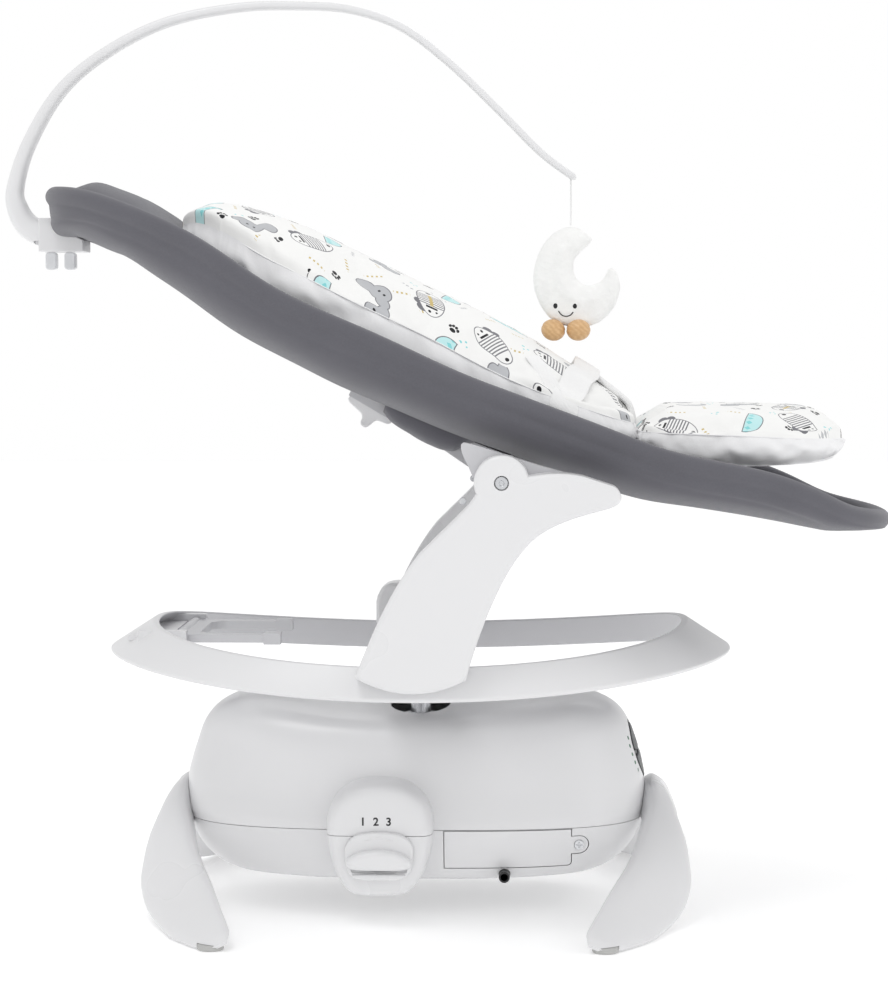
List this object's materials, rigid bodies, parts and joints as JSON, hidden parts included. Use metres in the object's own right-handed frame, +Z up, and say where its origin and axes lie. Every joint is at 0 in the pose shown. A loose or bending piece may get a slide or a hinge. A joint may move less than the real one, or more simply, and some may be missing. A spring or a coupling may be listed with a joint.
{
  "type": "baby swing",
  "caption": "Motor-driven baby swing: arched-leg base, lift-off rocker ring with two uprights, reclining fabric seat with cushions, and a toy bar with a hanging moon.",
  "frame": {"origin": "on the floor under the middle of the object's box", "axes": "+X towards the foot end of the seat, +Z up; the selector and battery door face -Y"},
  "size_m": [0.7929, 0.4944, 0.806],
  "materials": {
    "white_plastic": "satin moulded",
    "ring_plastic": "satin moulded",
    "inner_plastic": "plain moulded",
    "grey_plastic": "fine grain",
    "clear_plastic": "milky clear",
    "keypad_plastic": "soft touch",
    "black_plastic": "plain",
    "green_lens": "tinted",
    "board": "solder mask",
    "bright_steel": "zinc plated",
    "cell_metal": "plain can",
    "frame_steel": "powder coat",
    "pad_rubber": "matt",
    "sling_fabric": "fine woven",
    "print_fabric": "printed knit",
    "white_webbing": "woven",
    "white_cord": "braided",
    "white_plush": "short pile",
    "toy_wood": "waxed"
  },
  "bodies": {
    "base": {"base_upper_housing": "white_plastic", "base_lower_housing": "white_plastic", "battery_box": "inner_plastic", "battery_cell_1": "cell_metal", "battery_cell_2": "cell_metal", "battery_cell_3": "cell_metal", "battery_cell_4": "cell_metal", "mains_jack": "black_plastic", "keypad_panel": "keypad_plastic", "led_light_guide": "green_lens", "leg_arch_head": "white_plastic", "leg_arch_foot": "white_plastic", "foot_pad_head_near": "pad_rubber", "foot_pad_head_far": "pad_rubber", "foot_pad_foot_near": "pad_rubber", "foot_pad_foot_far": "pad_rubber", "guide_rod_head": "bright_steel", "guide_rod_foot": "bright_steel", "drive_frame": "inner_plastic", "motor": "cell_metal", "main_circuit_board": "board", "speaker": "black_plastic"},
    "hatch": {"battery_door": "white_plastic", "battery_door_screw": "bright_steel"},
    "selector": {"selector_knob": "white_plastic"},
    "key_power": {"button_power": "keypad_plastic"},
    "key_up": {"button_up": "keypad_plastic"},
    "key_music": {"button_music": "keypad_plastic"},
    "key_down": {"button_down": "keypad_plastic"},
    "key_timer": {"button_timer": "keypad_plastic"},
    "carrier": {"carriage": "inner_plastic", "drive_shaft": "bright_steel", "shaft_skirt": "white_plastic", "drive_rack": "inner_plastic"},
    "pinion": {"drive_pinion": "inner_plastic"},
    "rocker": {"rocker_ring": "ring_plastic", "ring_cross_member": "white_plastic", "upright_near": "white_plastic", "upright_far": "white_plastic", "pivot_screw_near": "bright_steel", "pivot_screw_far": "bright_steel", "vibration_case": "white_plastic", "vibration_motor": "cell_metal"},
    "vibration_key": {"vibration_button": "keypad_plastic"},
    "stand": {"kickstand": "white_plastic"},
    "seat": {"seat_frame": "frame_steel", "seat_bracket": "grey_plastic", "sling": "sling_fabric", "cushion_back": "print_fabric", "cushion_leg": "print_fabric", "crotch_strap": "white_webbing", "toy_bar_clamp": "white_plastic"},
    "handle": {"recline_handle": "white_plastic"},
    "lever_head": {"clamp_lever_head": "clear_plastic"},
    "lever_foot": {"clamp_lever_foot": "clear_plastic"},
    "bar": {"toy_bar": "white_plastic"},
    "toy": {"toy_string": "white_cord", "moon_toy": "white_plush", "toy_foot_head": "toy_wood", "toy_foot_foot": "toy_wood"}
  },
  "joints": [
    {"name": "sway", "type": "slide", "parent": "base", "child": "carrier", "axis": [0, 1, 0], "range_m": [-0.025, 0.025]},
    {"name": "pinion_turn", "type": "hinge", "parent": "base", "child": "pinion", "pos_m": [-0.021, 0, 0.0854], "axis": [1, 0, 0], "range_deg": [-104, 104]},
    {"name": "rocker_lift", "type": "slide", "parent": "carrier", "child": "rocker", "axis": [0, 0, 1], "range_m": [0, 0.14]},
    {"name": "kickstand_fold", "type": "hinge", "parent": "rocker", "child": "stand", "pos_m": [-0.233, 0, 0.24], "axis": [0, 1, 0], "range_deg": [0, 22]},
    {"name": "vibration_press", "type": "slide", "parent": "rocker", "child": "vibration_key", "axis": [0, 0, -1], "range_m": [0, 0.001], "stiffness_N_per_m": 300},
    {"name": "seat_recline", "type": "hinge", "parent": "rocker", "child": "seat", "pos_m": [0.0544, 0, 0.3856], "axis": [0, 1, 0], "range_deg": [0, 15]},
    {"name": "recline_release", "type": "hinge", "parent": "seat", "child": "handle", "pos_m": [-0.08, 0, 0.452], "axis": [0, 1, 0], "range_deg": [0, 12], "stiffness_Nm_per_rad": 0.3},
    {"name": "bar_flip", "type": "hinge", "parent": "seat", "child": "bar", "pos_m": [-0.35, 0, 0.595], "axis": [0, 1, 0], "range_deg": [-46, 0]},
    {"name": "lever_squeeze_head", "type": "hinge", "parent": "seat", "child": "lever_head", "pos_m": [-0.352, 0, 0.58], "axis": [0, 1, 0], "range_deg": [-8, 0], "stiffness_Nm_per_rad": 0.05},
    {"name": "lever_squeeze_foot", "type": "hinge", "parent": "seat", "child": "lever_foot", "pos_m": [-0.335, 0, 0.58], "axis": [0, 1, 0], "range_deg": [0, 8], "stiffness_Nm_per_rad": 0.05},
    {"name": "toy_swing", "type": "hinge", "parent": "bar", "child": "toy", "pos_m": [0.1135, 0, 0.6435], "axis": [0, 1, 0], "range_deg": [-25, 6]},
    {"name": "selector_turn", "type": "hinge", "parent": "base", "child": "selector", "pos_m": [-0.0505, 0, 0.061], "axis": [0, 1, 0], "range_deg": [-15, 15]},
    {"name": "hatch_off", "type": "slide", "parent": "base", "child": "hatch", "axis": [0, -1, 0], "range_m": [0, 0.03]},
    {"name": "press_power", "type": "slide", "parent": "base", "child": "key_power", "axis": [-1, 0, 0], "range_m": [0, 0.0012], "stiffness_N_per_m": 300},
    {"name": "press_up", "type": "slide", "parent": "base", "child": "key_up", "axis": [-1, 0, 0], "range_m": [0, 0.0012], "stiffness_N_per_m": 300},
    {"name": "press_music", "type": "slide", "parent": "base", "child": "key_music", "axis": [-1, 0, 0], "range_m": [0, 0.0012], "stiffness_N_per_m": 300},
    {"name": "press_down", "type": "slide", "parent": "base", "child": "key_down", "axis": [-1, 0, 0], "range_m": [0, 0.0012], "stiffness_N_per_m": 300},
    {"name": "press_timer", "type": "slide", "parent": "base", "child": "key_timer", "axis": [-1, 0, 0], "range_m": [0, 0.0012], "stiffness_N_per_m": 300}
  ],
  "couplings": [
    {"joint": "pinion_turn", "follows": "sway", "rad_per_m": -71.43}
  ]
}
